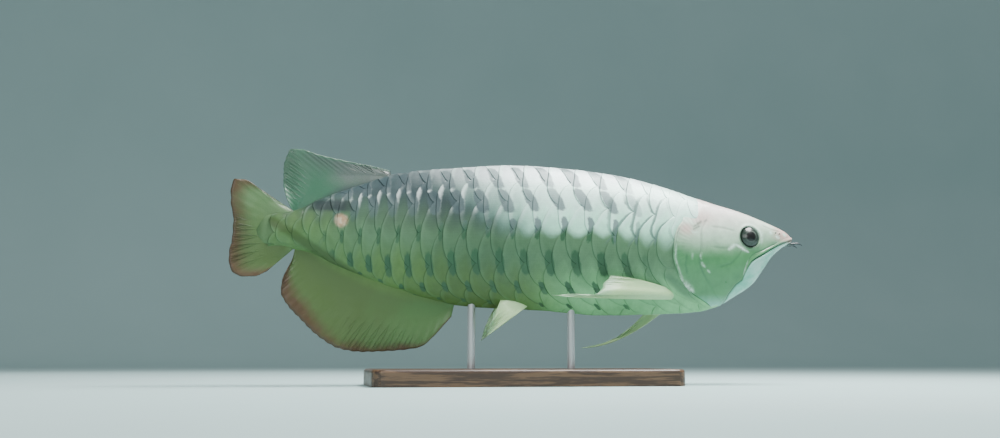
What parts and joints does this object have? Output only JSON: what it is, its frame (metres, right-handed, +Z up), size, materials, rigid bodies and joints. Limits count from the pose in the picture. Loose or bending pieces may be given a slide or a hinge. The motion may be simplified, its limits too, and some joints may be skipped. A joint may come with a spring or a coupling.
{
  "type": "asian arowana model",
  "caption": "Life-size still model of an Asian arowana, head to +X, banked a little and held above a flat wooden base by two short rods.",
  "frame": {"origin": "centre of the stand base's underside, on the floor", "axes": "+X along the fish towards its head, +Z up, -Y out of the fish's right side, towards the camera"},
  "size_m": [0.5797, 0.14, 0.2283],
  "materials": {
    "scales": "silver-green scales with dark rims, moist gloss",
    "head_skin": "smooth silver-green skin over bone, moist gloss",
    "eye": "dark glassy eye with a silver ring",
    "barbel": "dark skin",
    "fin_olive": "olive fin web with brown-red margin",
    "fin_pale": "pale, half-clear fin web",
    "stand_wood": "dark oiled wood, satin",
    "stand_steel": "brushed"
  },
  "bodies": {
    "root": {"head": "head_skin", "lower_jaw": "head_skin", "torso": "scales", "tail": "scales", "eye_right": "eye", "eye_left": "eye", "barbel_right": "barbel", "barbel_left": "barbel", "dorsal_fin": "fin_olive", "anal_fin": "fin_olive", "caudal_fin": "fin_olive", "pectoral_fin_right": "fin_pale", "pectoral_fin_left": "fin_pale", "pelvic_fin_right": "fin_pale", "pelvic_fin_left": "fin_pale", "stand_base": "stand_wood", "stand_rod_front": "stand_steel", "stand_rod_back": "stand_steel"}
  },
  "joints": []
}
